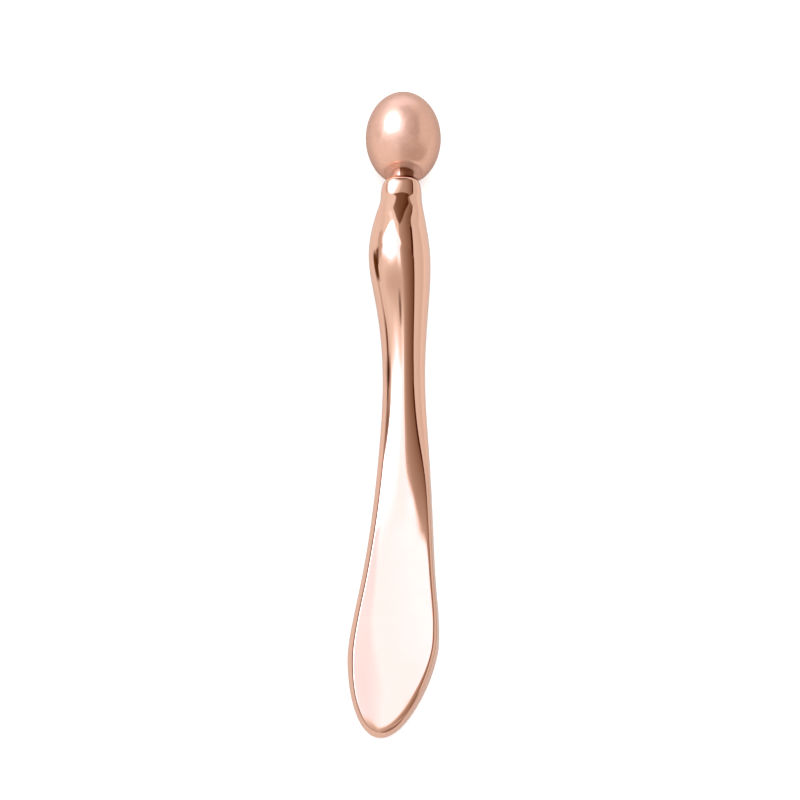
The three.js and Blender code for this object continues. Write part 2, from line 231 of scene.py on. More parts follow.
# Fine hairlines left by the buffing wheel: noise stretched along the piece, kept where it is thin.
def makeBuffingGroup():
    lineStart, lineFull = 0.42, 0.58
    group, start, end = newGroup("buffingLines", {"Density": 9000.0, "Stretch": 0.06}, ["Height"])
    place = group.nodes.new("ShaderNodeTexCoord")
    split = addNode(group, "ShaderNodeSeparateXYZ", Vector=place.outputs["Object"])
    along = calc(group, "MULTIPLY", split.outputs[1], start.outputs["Stretch"])
    joined = addNode(group, "ShaderNodeCombineXYZ", X=split.outputs[0], Y=along, Z=split.outputs[2])
    noise = addNode(
        group,
        "ShaderNodeTexNoise",
        Vector=joined.outputs[0],
        Scale=start.outputs["Density"],
        Detail=2.0,
        Roughness=0.6,
    )
    line = mapRange(group, noise.outputs[0], lineStart, lineFull, 0.0, 1.0, soft=True)
    feed(group, end.inputs["Height"], line)
    return group


# Satin pits: a fine even speckle, whose mask is 1 in the blasted pits and 0 on the ground between.
def makePitGroup():
    noPitNoise, allPitNoise, softness = 0.64, 0.36, 0.02
    group, start, end = newGroup("satinPits", {"Pit Density": 20000.0, "Pit Share": 0.6}, ["Mask"])
    place = group.nodes.new("ShaderNodeTexCoord")
    noise = addNode(
        group,
        "ShaderNodeTexNoise",
        Vector=place.outputs["Object"],
        Scale=start.outputs["Pit Density"],
        Detail=1.0,
    )
    edge = mapRange(group, start.outputs["Pit Share"], 0.0, 1.0, noPitNoise, allPitNoise)
    above = calc(group, "SUBTRACT", noise.outputs[0], edge)
    pit = mapRange(group, above, -softness, softness, 0.0, 1.0, soft=True)
    feed(group, end.inputs["Mask"], pit)
    return group


# Mask for the colour painted in the gap at the pin, as painted shade or painted light: 1 near the
# axis and the middle of the gap, fading outward and along, and cut off at its left edge.
def makeGapPaintedLightShadeGroup():
    fullReachShare, fullDepthShare, sideSoftness = 0.55, 0.5, 0.08 * mm
    group, start, end = newGroup(
        "gapPaintedLightShade", {"Reach": 2.9 * mm, "Depth": 1.3 * mm, "Left Edge": -9.0 * mm}, ["Mask"]
    )
    place = group.nodes.new("ShaderNodeTexCoord")
    centre = (axisX * mm, (collarY + rollerForm["mouth"] / 2) * mm, axisZ * mm)
    offset = addNode(group, "ShaderNodeVectorMath", {"operation": "SUBTRACT"})
    feed(group, offset.inputs[0], place.outputs["Object"])
    feed(group, offset.inputs[1], centre)
    split = addNode(group, "ShaderNodeSeparateXYZ", Vector=offset.outputs[0])
    squares = [calc(group, "MULTIPLY", split.outputs[i], split.outputs[i]) for i in (0, 2)]
    radius = calc(group, "SQRT", calc(group, "ADD", *squares))
    inner = calc(group, "MULTIPLY", start.outputs["Reach"], fullReachShare)
    near = mapRange(group, radius, inner, start.outputs["Reach"], 1.0, 0.0, soft=True)
    away = calc(group, "ABSOLUTE", split.outputs[1])
    full = calc(group, "MULTIPLY", start.outputs["Depth"], fullDepthShare)
    nearAlong = mapRange(group, away, full, start.outputs["Depth"], 1.0, 0.0, soft=True)
    rightOfEdge = calc(group, "SUBTRACT", split.outputs[0], start.outputs["Left Edge"])
    side = mapRange(group, rightOfEdge, -sideSoftness, sideSoftness, 0.0, 1.0, soft=True)
    nearAxis = calc(group, "MULTIPLY", near, side)
    feed(group, end.inputs["Mask"], calc(group, "MULTIPLY", nearAxis, nearAlong))
    return group


# Handling marks: broad cloudy patches, with smaller mottling inside them.
def makeSmudgeGroup():
    patchStart, patchFull = 0.45, 0.68
    mottleSize, mottleStart, mottleFull, leastMottle = 7.0, 0.35, 0.65, 0.6
    group, start, end = newGroup("handlingSmudges", {"Patch Size": 260.0}, ["Mask"])
    place = group.nodes.new("ShaderNodeTexCoord")
    broad = addNode(
        group,
        "ShaderNodeTexNoise",
        Vector=place.outputs["Object"],
        Scale=start.outputs["Patch Size"],
        Detail=3.0,
        Roughness=0.55,
        Distortion=0.6,
    )
    smallSize = calc(group, "MULTIPLY", start.outputs["Patch Size"], mottleSize)
    small = addNode(
        group, "ShaderNodeTexNoise", Vector=place.outputs["Object"], Scale=smallSize, Detail=2.0
    )
    patch = mapRange(group, broad.outputs[0], patchStart, patchFull, 0.0, 1.0, soft=True)
    mottle = mapRange(
        group, small.outputs[0], mottleStart, mottleFull, leastMottle, 1.0, soft=True
    )
    feed(group, end.inputs["Mask"], calc(group, "MULTIPLY", patch, mottle))
    return group


# Slow waves that hand polishing leaves in a cast surface, as a height.
def makeWaveGroup():
    group, start, end = newGroup("polishingWaves", {"Wave Size": 90.0}, ["Height"])
    place = group.nodes.new("ShaderNodeTexCoord")
    noise = addNode(
        group,
        "ShaderNodeTexNoise",
        Vector=place.outputs["Object"],
        Scale=start.outputs["Wave Size"],
        Detail=1.0,
        Roughness=0.4,
    )
    feed(group, end.inputs["Height"], noise.outputs[0])
    return group


buffingGroup = makeBuffingGroup()
smudgeGroup = makeSmudgeGroup()
waveGroup = makeWaveGroup()
pitGroup = makePitGroup()
gapPaintedLightShadeGroup = makeGapPaintedLightShadeGroup()


# Copy of a group in a material, with its inputs set.
def placeGroup(tree, group, **values):
    node = tree.nodes.new("ShaderNodeGroup")
    node.node_tree = group
    for key, value in values.items():
        feed(tree, node.inputs[key.replace("_", " ")], value)
    return node


# Plated metal: the plating's colour is a little deeper in the smudges, which are rougher too, and
# the buffing lines and polishing waves are a fine bump. Where the look has them, a colour painted
# in the gap at the pin stands in for light there (painted shade on the pin, painted light on the
# roller's mouth), the handle's marks darken the plating as painted shade and painted dark
# reflections, the edges that face away from the view get painted shade, and pits roughen it.
def makePlating(name, look):
    material = bpy.data.materials.new(name)
    material.use_nodes = True
    tree = material.node_tree
    shader = tree.nodes["Principled BSDF"]
    shader.inputs["Metallic"].default_value = look["metallic"]
    smudge = placeGroup(tree, smudgeGroup, Patch_Size=look["smudgeSize"]).outputs[0]
    lines = placeGroup(tree, buffingGroup, Density=look["lineDensity"], Stretch=look["lineStretch"])
    waves = placeGroup(tree, waveGroup, Wave_Size=look["waveSize"])
    color = mixColor(tree, smudge, look["color"], look["smudgeColor"])
    # Painted light and shade in the gap at the pin: a mask there sets its colour, and its metallic
    # where given.
    if "gapLightShadeColor" in look:
        gapLightShade = placeGroup(
            tree, gapPaintedLightShadeGroup, Left_Edge=look["gapLightShadeLeft"], Reach=look["gapLightShadeReach"]
        ).outputs[0]
        color = mixColor(tree, gapLightShade, color, look["gapLightShadeColor"])
        if "gapLightShadeMetallic" in look:
            metallic = mapRange(tree, gapLightShade, 0.0, 1.0, look["metallic"], look["gapLightShadeMetallic"])
            feed(tree, shader.inputs["Metallic"], metallic)
    # Painted shade and painted dark reflections: the handle's marks darken the colour and tint its
    # grazing reflection.
    if "paintedShadeColor" in look:
        shadeMarks = addNode(tree, "ShaderNodeAttribute", {"attribute_name": "paintedShade"}).outputs["Fac"]
        color = mixColor(tree, shadeMarks, color, look["paintedShadeColor"])
        grazing = mixColor(tree, shadeMarks, (1.0, 1.0, 1.0), look["paintedShadeTint"])
        feed(tree, shader.inputs["Specular Tint"], grazing)
    # Painted shade: the colour deepens where the surface turns away from the view.
    if "paintedEdgeShade" in look:
        facing = addNode(tree, "ShaderNodeLayerWeight", Blend=0.5).outputs["Facing"]
        edge = mapRange(tree, facing, *look["paintedEdgeShadeSpan"], 0.0, 1.0, soft=True)
        color = mixColor(tree, edge, color, look["paintedEdgeShade"])
    feed(tree, shader.inputs["Base Color"], color)
    lineRough = calc(tree, "MULTIPLY", lines.outputs[0], look["lineRoughness"])
    rough = mapRange(tree, smudge, 0.0, 1.0, look["roughness"], look["smudgeRoughness"])
    rough = calc(tree, "ADD", rough, lineRough)
    if "pitRoughness" in look:
        pits = placeGroup(tree, pitGroup, Pit_Density=look["pitDensity"], Pit_Share=look["pitShare"])
        pitRough = calc(tree, "MULTIPLY", pits.outputs[0], look["pitRoughness"])
        rough = calc(tree, "ADD", rough, pitRough)
    feed(tree, shader.inputs["Roughness"], rough)
    lineHeight = calc(tree, "MULTIPLY", lines.outputs[0], look["lineDepth"])
    waveHeight = calc(tree, "MULTIPLY", waves.outputs[0], look["waveDepth"])
    height = calc(tree, "ADD", lineHeight, waveHeight)
    bump = addNode(tree, "ShaderNodeBump", Height=height, Distance=mm, Strength=1.0)
    feed(tree, shader.inputs["Normal"], bump.outputs[0])
    return material


roseGold = (0.95, 0.56, 0.41)
polishedPlating = makePlating(
    "polishedPlating",
    {
        "color": roseGold,
        "smudgeColor": (0.945, 0.55, 0.4),
        # Colour and grazing tint of the handle's painted shade and painted dark reflections.
        "paintedShadeColor": (0.13, 0.036, 0.01),
        "paintedShadeTint": (0.45, 0.16, 0.08),
        "metallic": 1.0,
        "roughness": 0.045,
        "smudgeRoughness": 0.085,
        "smudgeSize": 260.0,
        "lineDensity": 9000.0,
        "lineStretch": 0.05,
        "lineRoughness": 0.012,
        "lineDepth": 0.00002,
        "waveSize": 90.0,
        "waveDepth": 0.004,
    },
)
pinPlating = makePlating(
    "pinPlating",
    {
        "color": (0.96, 0.63, 0.5),
        "smudgeColor": (0.94, 0.6, 0.47),
        # Painted shade: the pin is painted dark in the gap, right of its left edge.
        "gapLightShadeColor": (0.22, 0.08, 0.035),
        "gapLightShadeLeft": -0.5 * mm,
        "gapLightShadeReach": 2.9 * mm,
        "metallic": 0.85,
        "roughness": 0.42,
        "smudgeRoughness": 0.46,
        "smudgeSize": 400.0,
        "lineDensity": 9000.0,
        "lineStretch": 6.0,
        "lineRoughness": 0.03,
        "lineDepth": 0.00005,
        "waveSize": 200.0,
        "waveDepth": 0.001,
    },
)
satinPlating = makePlating(
    "satinPlating",
    {
        "color": (0.8, 0.47, 0.345),
        "smudgeColor": (0.79, 0.455, 0.33),
        # Painted shade: the roller's edges that face away from the view are painted darker.
        "paintedEdgeShade": (0.55, 0.3, 0.21),
        "paintedEdgeShadeSpan": (0.2, 0.8),
        "metallic": 0.85,
        "roughness": 0.23,
        "smudgeRoughness": 0.26,
        "pitRoughness": 0.33,
        "pitDensity": 20000.0,
        "pitShare": 0.5,
        # Painted light: the roller is painted lighter and less metallic near its mouth.
        "gapLightShadeColor": (0.95, 0.57, 0.43),
        "gapLightShadeLeft": -9.0 * mm,
        "gapLightShadeReach": 3.8 * mm,
        "gapLightShadeMetallic": 0.62,
        "smudgeSize": 200.0,
        "lineDensity": 14000.0,
        "lineStretch": 0.9,
        "lineRoughness": 0.02,
        "lineDepth": 0.0001,
        "waveSize": 160.0,
        "waveDepth": 0.006,
    },
)


# Bearing plastic: slightly cloudy, with a moulded grain.
def makeBearingPlastic():
    look = {
        "color": (0.84, 0.82, 0.76),
        "cloudColor": (0.78, 0.76, 0.7),
        "cloudSize": 600.0,
        "roughness": 0.42,
        "cloudRoughness": 0.54,
        "grainDensity": 9000.0,
        "grainDepth": 0.001,
    }
    material = bpy.data.materials.new("bearingPlastic")
    material.use_nodes = True
    tree = material.node_tree
    shader = tree.nodes["Principled BSDF"]
    cloud = placeGroup(tree, smudgeGroup, Patch_Size=look["cloudSize"]).outputs[0]
    color = mixColor(tree, cloud, look["color"], look["cloudColor"])
    feed(tree, shader.inputs["Base Color"], color)
    rough = mapRange(tree, cloud, 0.0, 1.0, look["roughness"], look["cloudRoughness"])
    feed(tree, shader.inputs["Roughness"], rough)
    grain = placeGroup(tree, buffingGroup, Density=look["grainDensity"], Stretch=1.0)
    height = calc(tree, "MULTIPLY", grain.outputs[0], look["grainDepth"])
    bump = addNode(tree, "ShaderNodeBump", Height=height, Distance=mm, Strength=1.0)
    feed(tree, shader.inputs["Normal"], bump.outputs[0])
    return material


steelFinish = makePlating(
    "steelFinish",
    {
        "color": (0.56, 0.56, 0.58),
        "smudgeColor": (0.5, 0.5, 0.52),
        "metallic": 1.0,
        "roughness": 0.24,
        "smudgeRoughness": 0.32,
        "smudgeSize": 500.0,
        "lineDensity": 12000.0,
        "lineStretch": 0.3,
        "lineRoughness": 0.05,
        "lineDepth": 0.0004,
        "waveSize": 300.0,
        "waveDepth": 0.001,
    },
)
bearingPlastic = makeBearingPlastic()
print("materials made")

# Handle: sizes in millimetres, and the face's lean in degrees. A place share is 0 at the collar's
# end and 1 at the blade's tip.
handleForm = {
    "length": 85.11277,
    "collarLength": 3.54,
    "collarFace": 3.5,
    "collarRound": 2.8,
    "collarSquareness": 0.8,
    "squareStart": 3.6,
    "squareEnd": 9.0,
    "gripHeight": 5.5,
    # Place share, full width and sideways shift. The first section is at the collar's face.
    "sections": [
        (None, 6.17, -0.36),
        (0.0, 6.05, -0.32),
        (0.027, 6.95, -0.45),
        (0.11, 8.85, -0.56),
        (0.194, 7.65, -0.17),
        (0.316, 6.05, 0.06),
        (0.468, 6.96, 0.08),
        (0.602, 8.54, -0.19),
        (0.731, 10.59, -0.76),
        (0.843, 12.33, -1.41),
    ],
    "tipShift": -3.09,
    "tipCurve": 1.52,
    # Depths in front of the middle plane and behind it, first at both ends of the collar, then at
    # the place shares. In front, the rise behind the collar comes between, as (place, depth).
    "depthShares": [0.11, 0.194, 0.316, 0.468, 0.633],
    "frontDepths": [3.05, 3.05, 4.12, 3.55, 2.75, 2.25, 1.9],
    "backDepths": [3.05, 3.05, 4.15, 3.6, 2.27, 1.77, 1.5],
    "rise": [(3.7, 3.08), (4.4, 3.2), (6.3, 3.55), (9.0, 3.92)],
    "beadEnd": 3.3,
    "frontRound": 1.5,
    "tipThin": 0.36,
    # Gap under the waist and the blade, and where the bend between them starts and ends.
    "swellShare": 0.11,
    "waistShare": 0.316,
    "bendEndShare": 0.633,
    "waistGap": 1.2,
    "bladeGap": 0.1,
    # The blade's face, its rims, and the roll of its right rim.
    "faceStart": 0.363,
    "faceFull": 0.706,
    "faceCrown": 0.1,
    "faceLean": 2.3,
    "rimLeft": 0.9,
    "rimRight": 0.38,
    "rimStraight": 0.66,
    "tipRimLoss": 0.75,
    "backRim": 2.0,
    "creaseSoftness": 0.15,
    "rollStart": 0.45,
    "rollEnd": 0.8,
    "rollWidth": 1.3,
    "rollShare": 0.16,
    "tipRollWidth": 1.0,
    "tipRollShare": 0.1,
    "socketRadius": 1.35,
    "socketDepth": 6.05,
    # Rows along the collar, body and tip, and steps round each side of a section. The steps run
    # from the outline to just outside the crease, the crease, just inside it, and the middle.
    "collarRows": 26,
    "bodyRows": 299,
    "tipRows": 63,
    "slopeStep": 0.05,
    "creaseSpread": 1.2,
    "creaseLimits": (0.33, 0.375, 0.42),
    "rightSteps": (8, 5, 5, 22),
    "leftSteps": (10, 5, 5, 22),
    "backSteps": (11, 8),
}

# Painted shade and painted dark reflections on the handle's plating. Places and half lengths are
# place shares, and distances in from the outline are in rim widths.
paintedShadeForm = {
    "rightPower": 2.5,
    "rightStrength": 0.95,
    "leftDistance": 0.97,
    "leftReach": 0.22,
    # Place and strength of the painted shade line along the left rim.
    "leftLine": [
        (0.1, 0.0),
        (0.16, 0.5),
        (0.3, 0.5),
        (0.46, 0.6),
        (0.6, 1.0),
        (0.95, 1.0),
        (1.0, 0.5),
    ],
    # Place, half length, distance, reach and strength of the two painted dark reflection spots on
    # the left.
    "spots": [(0.143, 0.032, 1.12, 0.42, 1.8), (0.335, 0.034, 1.15, 0.62, 0.85)],
    # Place, strength, and width in millimetres of the shade inside the left rim.
    "shade": [
        (0.36, 0.0, 0.7),
        (0.42, 0.7, 0.8),
        (0.52, 0.55, 0.9),
        (0.66, 0.2, 1.4),
        (0.8, 0.15, 4.0),
        (0.9, 0.2, 10.0),
        (1.0, 0.2, 10.0),
    ],
    "shadeStart": 0.9,
    "shadeEase": 0.15,
    "shadeSideEase": 0.4,
    # Place, half length, share across the section, reach across, and strength of the painted dark
    # reflection streak.
    "darkReflectionStreak": (0.226, 0.036, -0.11, 0.052, 1.0),
    # Painted shade line round the collar's top edge: its share at the middle grows by the gain to
    # the right, and it fades out before its end in millimetres.
    "collarShare": 0.55,
    "collarGain": 1.4,
    "collarEnd": 1.0,
    "collarFade": 0.25,
}


# Curve of least bend through the values, level at its start, and with the given slope at its end:
# the slopes come from the usual three-term equations, and cubic pieces join them.
def smoothCurve(places, values, endSlope=0.0):
    places = np.array(places, float)
    values = np.array(values, float)
    span = np.diff(places)
    rise = np.diff(values) / span
    count = len(places)
    middle = np.zeros(count)
    middle[1:-1] = 2 / span[:-1] + 2 / span[1:]
    before, after = np.append(1 / span[:-1], 0), np.append(0, 1 / span[1:])
    matrix = np.diag(middle) + np.diag(before, -1) + np.diag(after, 1)
    matrix[0, 0] = matrix[-1, -1] = 1
    wanted = np.zeros(count)
    wanted[1:-1] = 3 * (rise[:-1] / span[:-1] + rise[1:] / span[1:])
    wanted[-1] = endSlope
    lean = np.linalg.solve(matrix, wanted)

    def valueAt(place):
        p = np.clip(place, places[0], places[-1])
        i = np.clip(np.searchsorted(places, p, side="right") - 1, 0, count - 2)
        t = (p - places[i]) / span[i]
        ends = (1 + 2 * t) * (1 - t) ** 2 * values[i] + t * t * (3 - 2 * t) * values[i + 1]
        leans = t * (1 - t) ** 2 * lean[i] + t * t * (t - 1) * lean[i + 1]
        return ends + span[i] * leans

    return valueAt


# Rises from 0 to 1 between two places by the quintic 6t^5 - 15t^4 + 10t^3.
def ramp(place, start, end):
    t = np.clip((place - start) / (end - start), 0, 1)
    return t**3 * (t * (6 * t - 15) + 10)


# Rises from 0 to 1 by the cubic 3t^2 - 2t^3, and is level before and after.
def smooth(t):
    t = np.clip(t, 0, 1)
    return t * t * (3 - 2 * t)


# Falls from 1 at no offset to 0 at the reach, by 1 - t^2.
def fade(offset, reach):
    return np.clip(1 - (offset / reach) ** 2, 0, 1)


# Place share in millimetres from the collar's face.
def placeOf(share):
    collar = handleForm["collarLength"]
    return collar + (handleForm["length"] - collar) * share


# What the round edge takes off the collar at a place: a quarter circle, 1 at the face and 0 where
# the rounding ends.
def beadShare(a, roundLength):
    t = np.minimum(a / roundLength, 1)
    return 1 - np.sqrt(t * (2 - t))


# The same in millimetres, from the collar's full width down to its face.
def beadInset(a, roundLength):
    f = handleForm
    return (f["sections"][0][1] - f["collarFace"]) / 2 * beadShare(a, roundLength)


# Sections at the places along the handle: half width squared and its slope, depths, height of the
# middle plane, sideways shift, and how far the face is flat. Past the widest place, the half width
# squared falls by a power of the way to the tip.
def handleSections(a):
    f = handleForm
    length, collar = f["length"], f["collarLength"]
    lastShare, _, lastShift = f["sections"][-1]
    widest = placeOf(lastShare)
    places = [0.0] + [placeOf(share) for share, _, _ in f["sections"][1:]]
    widthAt = smoothCurve(places, [width for _, width, _ in f["sections"]])
    shiftAt = smoothCurve(
        places + [length],
        [shift for _, _, shift in f["sections"]] + [f["tipShift"]],
        (f["tipShift"] - lastShift) / (length - widest),
    )
    depthPlaces = [0, collar] + [placeOf(share) for share in f["depthShares"]]
    bead, later = f["frontDepths"][:2], f["frontDepths"][2:]
    risePlaces, riseDepths = zip(*f["rise"])
    frontAt = smoothCurve(
        [0, f["beadEnd"], *risePlaces, *depthPlaces[2:]], [*bead, *riseDepths, *later]
    )
    backAt = smoothCurve(depthPlaces, f["backDepths"])
    swell, waist, bendEnd = [placeOf(f[key]) for key in ("swellShare", "waistShare", "bendEndShare")]
    collarGap = f["gripHeight"] - f["backDepths"][1]
    swellGap = f["gripHeight"] - f["backDepths"][2]
    gapAt = smoothCurve([0, collar, swell, waist], [collarGap, collarGap, swellGap, f["waistGap"]])

    def noseAt(a):
        return np.clip((a - widest) / (length - widest), 0, 1)

    def squaredAt(a):
        full = widthAt(a) / 2 - beadInset(a, f["collarRound"])
        return full**2 * (1 - noseAt(a) ** f["tipCurve"])

    ahead = np.minimum(a + f["slopeStep"], length)
    behind = np.maximum(a - f["slopeStep"], 0)
    nose = noseAt(a)
    bend = ramp(a, swell, bendEnd)
    narrowing = ramp(a, placeOf(f["rollStart"]), placeOf(f["rollEnd"]))
    return {
        "place": a,
        "nose": nose,
        "squared": squaredAt(a),
        "closing": (squaredAt(ahead) - squaredAt(behind)) / (ahead - behind),
        "front": (frontAt(a) - beadInset(a, f["frontRound"])) * (1 - f["tipThin"] * nose**3),
        "back": backAt(a) - beadInset(a, f["collarRound"]),
        "middle": gapAt(a) * (1 - bend) + f["bladeGap"] * bend + backAt(a),
        "shift": shiftAt(a) * (1 - beadShare(a, f["collarRound"])),
        "flat": ramp(a, placeOf(f["faceStart"]), placeOf(f["faceFull"])),
        "rollWidth": f["rollWidth"] + (f["tipRollWidth"] - f["rollWidth"]) * narrowing,
        "rollShare": f["rollShare"] + (f["tipRollShare"] - f["rollShare"]) * narrowing,
    }


# Distance in from the outline, at a share of the half width: what is left of the squared half
# width, over its slope across and along.
def edgeDistance(s, share):
    across = share * np.sqrt(s["squared"])
    inside = np.clip(s["squared"] - across**2, 0, None)
    return inside / np.hypot(2 * across, s["closing"])


# Angle round the section where the outline is the given distance away, and no more than a limit.
def angleAtDistance(s, distance, limit):
    reach = 4 * s["squared"] + 4 * distance**2 + s["closing"] ** 2
    left = s["squared"] + 2 * distance**2 - distance * np.sqrt(reach)
    share = np.sqrt(np.clip(left, 0, None) / s["squared"])
    return np.minimum(np.arccos(np.clip(share, 0, 1)), math.pi * limit)


# Angles across one side of the section, in even steps between the given knots.
def spreadAngles(knots, steps):
    parts = [
        knots[i] + (knots[i + 1] - knots[i]) * np.linspace(0, 1, n, endpoint=False)
        for i, n in enumerate(steps)
    ]
    return np.concatenate(parts, axis=1)


# Angles round the front, from its right edge to its left, and round the back, from left to right.
def sectionAngles(s):
    f = handleForm
    zero = np.zeros_like(s["nose"])
    half = zero + math.pi / 2
    soft = f["creaseSoftness"] * f["creaseSpread"]

    def frontSide(rim, steps):
        rim = rim * (1 - f["tipRimLoss"] * s["nose"])
        spread = zip((1 - soft, 1, 1 + soft), f["creaseLimits"])
        knots = [angleAtDistance(s, rim * width, limit) for width, limit in spread]
        return spreadAngles([zero, *knots, half], steps)

    right = frontSide(f["rimRight"], f["rightSteps"])
    left = math.pi - frontSide(f["rimLeft"], f["leftSteps"])[:, ::-1]
    front = np.concatenate([right, half, left[:, :-1]], axis=1)
    backEdge = angleAtDistance(s, f["backRim"], f["creaseLimits"][-1])
    backSide = spreadAngles([zero, backEdge, half], f["backSteps"])
    back = np.concatenate([backSide, half, math.pi - backSide[:, :0:-1]], axis=1)
    return front, back


# Where each point of the front lies: its share of the half width, how far it is to the left, from
# 0 to 1, its distance in from the outline, the rim's width there, and how near it is to the crease.
def frontPlaces(s, angle):
    f = handleForm
    share = np.cos(angle)
    left = smooth((1 - share) / 2)
    rim = f["rimRight"] + (f["rimLeft"] - f["rimRight"]) * left
    rim = rim * (1 - f["tipRimLoss"] * s["nose"])
    distance = edgeDistance(s, share)
    near = np.clip(1 - np.abs(distance / rim - 1) / f["creaseSoftness"], 0, None)
    return {"share": share, "left": left, "rim": rim, "distance": distance, "near": near}


# Front surface: an arch, squarer at the collar, that turns by shares into a face between rims. A
# rim rises straight by a share of its height and by a quarter circle for the rest, with its
# crease rounded off. The right rim rolls outward, and the face is crowned and leans to the right.
def frontPoints(s, place):
    f = handleForm
    share, rim, distance, left = place["share"], place["rim"], place["distance"], place["left"]
    t = np.minimum(distance / rim, 1) - place["near"] ** 2 * f["creaseSoftness"] / 4
    bevel = f["rimStraight"] * t + (1 - f["rimStraight"]) * np.sqrt(t * (2 - t))
    outward = 1 - np.minimum(distance / s["rollWidth"], 1)
    bevel = bevel * (1 - s["rollShare"] * (1 - left) * outward**2)
    square = 1 - ramp(s["place"], f["squareStart"], f["squareEnd"])
    power = 2 + f["collarSquareness"] * square
    arch = np.clip(1 - np.abs(share) ** power, 0, 1) ** (1 / power)
    across = np.sqrt(s["squared"]) * share
    lean = math.tan(math.radians(f["faceLean"])) * across * smooth(distance / rim - (1 - left))
    z = s["middle"] + s["front"] * (arch + (bevel - arch) * s["flat"])
    z = z + (f["faceCrown"] * (1 - share**2) + lean) * s["flat"]
    return s["shift"] + across, z


# Back surface: an arch that turns by shares into a flat back with quarter-round rims.
def backPoints(s, angle):
    share = -np.cos(angle)
    t = np.minimum(edgeDistance(s, share) / handleForm["backRim"], 1)
    arch = np.sqrt(np.clip(1 - share**2, 0, 1))
    flatBack = np.sqrt(t * (2 - t))
    z = s["middle"] - s["back"] * (arch + (flatBack - arch) * s["flat"])
    return s["shift"] + np.sqrt(s["squared"]) * share, z


# Painted shade on the front, from 0 to 1, the strongest one at each point: a painted shade line in
# each rim's crease, painted dark reflections as spots and shade on the left and as a streak on the
# grip, and a painted shade line round the collar's top edge.
def frontPaintedShade(s, place):
    m = paintedShadeForm
    a, share, left = s["place"], place["share"], place["left"]
    depth = place["distance"] / place["rim"]
    run = placeOf(1) - placeOf(0)

    def along(middle, halfLength):
        return fade(a - placeOf(middle), halfLength * run)

    shares, strengths = zip(*m["leftLine"])
    leftStrength = np.interp(a, [placeOf(at) for at in shares], strengths)
    leftLine = np.clip(1 - np.abs(depth - m["leftDistance"]) / m["leftReach"], 0, 1)
    rightLine = place["near"] ** m["rightPower"] * m["rightStrength"] * s["flat"]
    shadeMarks = [rightLine * (1 - left) + leftLine * leftStrength * left]
    for middle, halfLength, distance, reach, strength in m["spots"]:
        spot = strength * along(middle, halfLength) * fade(depth - distance, reach)
        shadeMarks.append(np.minimum(spot, 1) * (left > 0.5))
    shares, strengths, widths = zip(*m["shade"])
    places = [placeOf(at) for at in shares]
    inward = (place["distance"] - place["rim"]) / np.interp(a, places, widths)
    shade = np.interp(a, places, strengths) * smooth(2 - 2 * inward)
    shade = shade * np.clip((depth - m["shadeStart"]) / m["shadeEase"], 0, 1)
    shadeMarks.append(shade * np.clip((left - 0.5) / m["shadeSideEase"], 0, 1))
    middle, halfLength, across, reach, strength = m["darkReflectionStreak"]
    shadeMarks.append(np.minimum(strength * along(middle, halfLength) * fade(share - across, reach), 1))
    collarLine = np.clip(m["collarShare"] + m["collarGain"] * share, 0, 1)
    shadeMarks.append(collarLine * np.clip((m["collarEnd"] - a) / m["collarFade"], 0, 1))
    return np.maximum.reduce(shadeMarks)


# Handle skin: rings along it, closer together in the collar's round edge and toward the tip, with
# the pin's socket ahead of them, and a painted shade value for each point. The ends are the two
# closing points.
def handleRows():
    f = handleForm
    length, collar, grip = f["length"], f["collarLength"], f["gripHeight"]
    widest = placeOf(f["sections"][-1][0])
    even = np.linspace(0, 1, f["collarRows"], endpoint=False)
    body = np.linspace(collar, widest, f["bodyRows"], endpoint=False)
    tip = 1 - (1 - np.linspace(0, 1, f["tipRows"], endpoint=False)) ** 2
    a = np.concatenate([collar * even**2, body, widest + (length - widest) * tip])[:, None]
    s = handleSections(a)
    frontAngle, backAngle = sectionAngles(s)
    place = frontPlaces(s, frontAngle)
    frontX, frontZ = frontPoints(s, place)
    backX, backZ = backPoints(s, backAngle)
    x = np.concatenate([frontX, backX], axis=1)
    z = np.concatenate([frontZ, backZ], axis=1)
    rows = np.stack([x, np.repeat(-a, x.shape[1], axis=1), z], axis=-1)
    around = np.arctan2(z[0] - grip, x[0])
    mouth = np.stack([np.cos(around), np.zeros_like(around), np.sin(around)], axis=-1)
    mouth = mouth * f["socketRadius"] + [0, 0, grip]
    bottom = mouth - [0, f["socketDepth"], 0]
    rows = np.concatenate([bottom[None], mouth[None], rows], axis=0)
    shadeMarks = np.zeros(rows.shape[:2])
    shadeMarks[2:, : frontX.shape[1]] = frontPaintedShade(s, place)
    start = np.array([[0, -f["socketDepth"], grip]])
    end = np.array([[f["tipShift"], -length, float(s["middle"][-1, 0])]])
    lift = np.array([axisX, collarY, axisZ - grip])
    return rows + lift, start + lift, end + lift, shadeMarks


handleSkin, socketEnd, tipPoint, paintedShadeMarks = handleRows()
handle = addSkin(
    "handleCasting", handleSkin, polishedPlating, socketEnd, tipPoint, paintedShade=paintedShadeMarks
)
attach(handle, "handle")
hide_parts("handle")
print("handle made", handleSkin.shape)

# Pin: turned steel, plated where it shows between the roller and the collar.
p = pinForm
pinProfile = easedProfile(
    [
        (0, p["end"], 0),
        (p["journalRadius"], p["end"], p["endEase"]),
        (p["journalRadius"], p["grooveEnd"], p["ease"]),
        (p["grooveRadius"], p["grooveEnd"], p["ease"]),
        (p["grooveRadius"], p["grooveStart"], p["ease"]),
        (p["journalRadius"], p["grooveStart"], p["ease"]),
        (p["journalRadius"], p["neckEnd"], p["neckEase"]),
        (p["neckRadius"], p["neckEnd"], p["shoulderEase"]),
        (p["neckRadius"], p["flangeThickness"], p["neckEase"]),
        (p["flangeRadius"], p["flangeThickness"], p["flangeEase"]),
        (p["flangeRadius"], 0, p["ease"]),
        (p["rootRadius"], 0, p["ease"]),
        (p["rootRadius"], -p["rootLength"], p["endEase"]),
        (0, -p["rootLength"], 0),
    ]
)
pin = addTurned("axlePin", pinProfile, p["sides"], pinPlating)
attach(pin, "handle")
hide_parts("axle_pin")
print("pin made")


